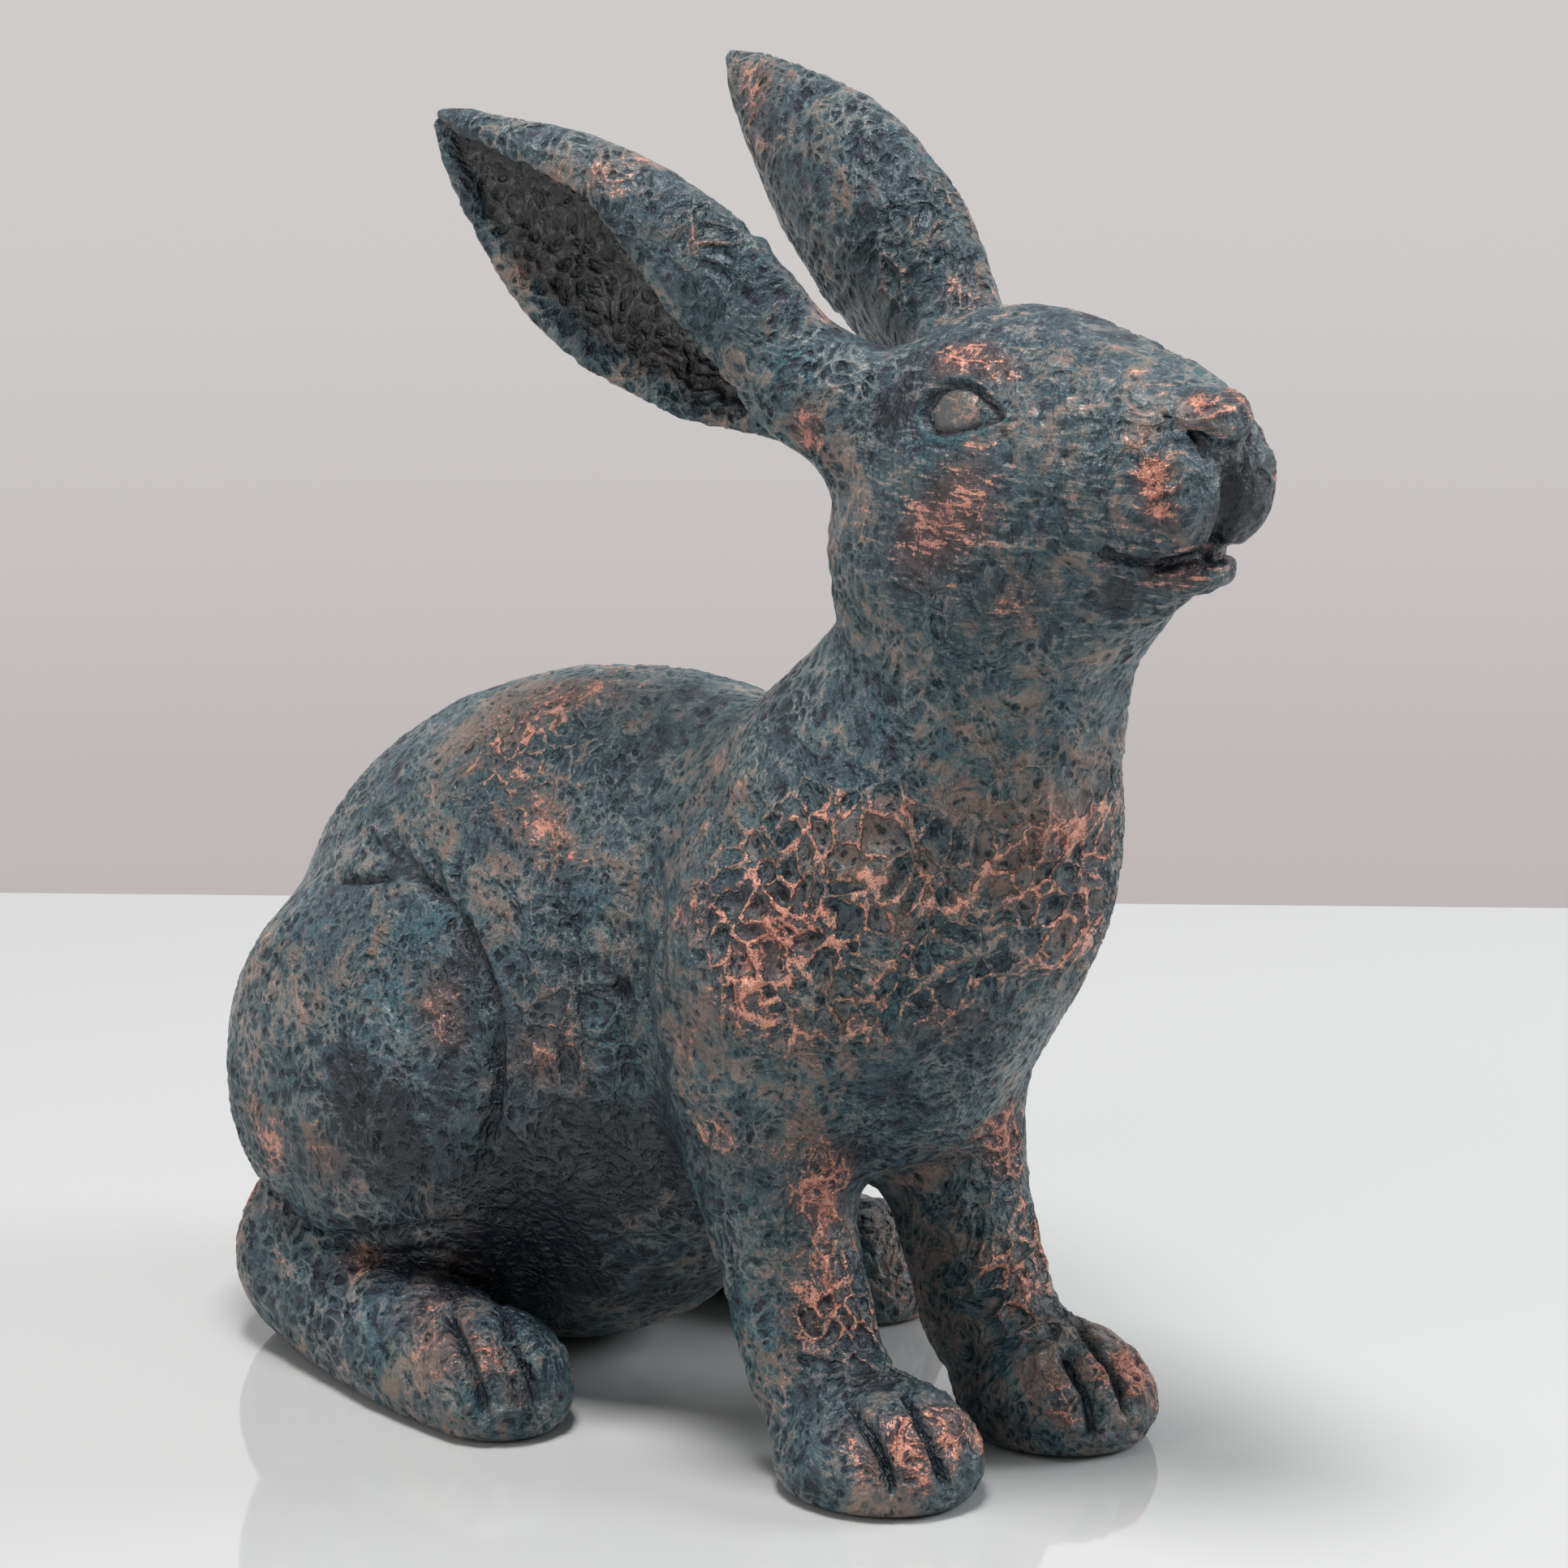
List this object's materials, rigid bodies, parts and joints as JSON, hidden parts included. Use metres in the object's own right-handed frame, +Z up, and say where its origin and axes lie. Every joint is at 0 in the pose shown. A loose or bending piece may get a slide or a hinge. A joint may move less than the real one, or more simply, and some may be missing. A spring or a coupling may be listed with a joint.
{
  "type": "easter bunny figurine",
  "caption": "Sitting Easter bunny figurine with upright ears, hollow-cast in resin sections that are pinned and glued, with a dark slate-blue patina and copper highlights.",
  "frame": {"origin": "on the table plane, under the centre of the figure's box", "axes": "+X to the rabbit's left, +Y to its tail, +Z up"},
  "size_m": [0.1536, 0.2975, 0.2999],
  "materials": {
    "patina_resin": "satin patina with copper rubbed over the tool marks",
    "black_rubber": "matt",
    "steel": "plain drawn bar"
  },
  "bodies": {
    "root": {"torso_shell": "patina_resin", "head_shell": "patina_resin", "ear_left": "patina_resin", "ear_right": "patina_resin", "foreleg_left": "patina_resin", "foreleg_right": "patina_resin", "hind_foot_left": "patina_resin", "hind_foot_right": "patina_resin", "tail": "patina_resin", "vent_plug": "black_rubber", "ear_pins": "steel", "foreleg_rods": "steel", "hind_foot_pins": "steel", "forepaw_pads": "black_rubber", "hind_pads": "black_rubber"}
  },
  "joints": []
}
